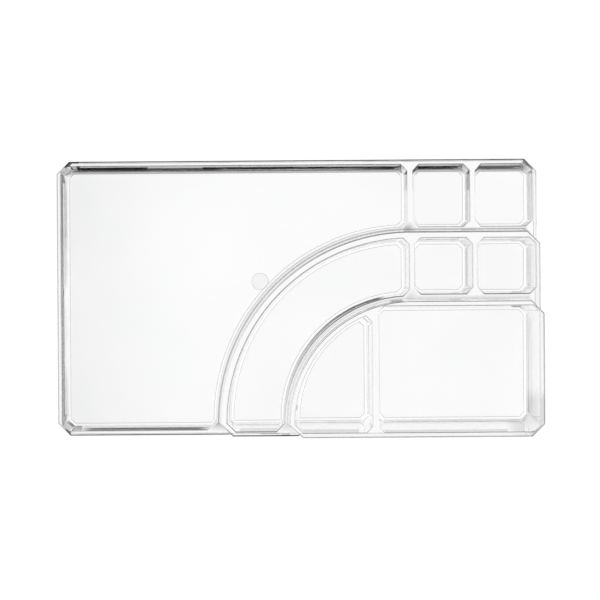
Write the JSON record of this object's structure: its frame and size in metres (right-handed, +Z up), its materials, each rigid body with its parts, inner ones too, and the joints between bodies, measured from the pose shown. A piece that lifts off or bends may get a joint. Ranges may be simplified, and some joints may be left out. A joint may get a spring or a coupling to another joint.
{
  "type": "cosmetic organizer",
  "caption": "Clear moulded desktop organizer in stepped tiers, with a wide low tray, a curved channel, small square compartments and a deep high section at the front.",
  "frame": {"origin": "on the flat underside, under the middle of the body", "axes": "+X along the long side towards the small square compartments, +Y from the high front edge to the low back edge, +Z up"},
  "size_m": [0.24, 0.137, 0.07],
  "materials": {
    "clear_plastic": "crystal clear and colourless, polished smooth as moulded, with bright rims"
  },
  "bodies": {
    "root": {"organizer_body": "clear_plastic"}
  },
  "joints": []
}
